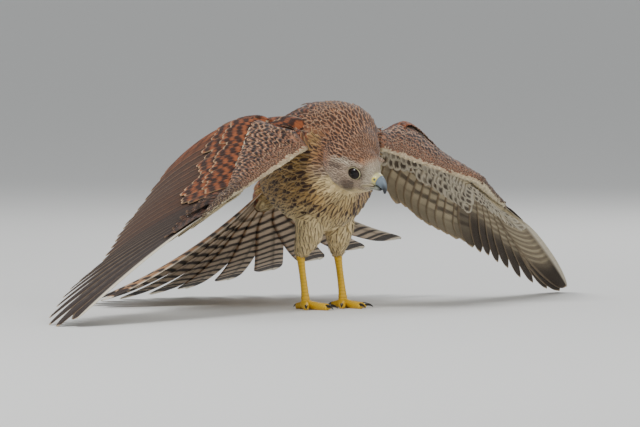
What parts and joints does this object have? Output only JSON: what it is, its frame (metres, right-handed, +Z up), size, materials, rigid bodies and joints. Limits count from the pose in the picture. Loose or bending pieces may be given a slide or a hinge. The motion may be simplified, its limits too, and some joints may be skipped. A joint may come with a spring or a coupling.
{
  "type": "bird figure",
  "caption": "Life-size standing kestrel in a mantling pose, wings half open and drooped to the floor, tail fanned wide, head low and turned to its left.",
  "frame": {"origin": "middle of the bird's bounding box on the floor it stands on", "axes": "+Z up, +Y away from the viewer along the longest extent, +X to the viewer's right"},
  "size_m": [0.3694, 0.5162, 0.1496],
  "materials": {
    "breast_plumage": "soft feathers, buff with dark streaks",
    "back_plumage": "soft feathers, rufous with dark bars",
    "tail_plumage": "stiff feathers, barred",
    "bill": "satin horn",
    "eye": "wet gloss",
    "leg_skin": "scaly skin, satin",
    "claw": "polished horn"
  },
  "bodies": {
    "root": {"torso": "breast_plumage", "neck": "back_plumage", "head": "back_plumage", "bill_upper": "bill", "bill_lower": "bill", "eye_right": "eye", "eye_left": "eye", "wing_right": "back_plumage", "wing_left": "back_plumage", "tail": "tail_plumage", "shin_right": "breast_plumage", "shin_left": "breast_plumage", "foot_right": "leg_skin", "foot_left": "leg_skin", "claw_right_middle": "claw", "claw_right_inner": "claw", "claw_right_outer": "claw", "claw_right_hind": "claw", "claw_left_middle": "claw", "claw_left_inner": "claw", "claw_left_outer": "claw", "claw_left_hind": "claw"}
  },
  "joints": []
}
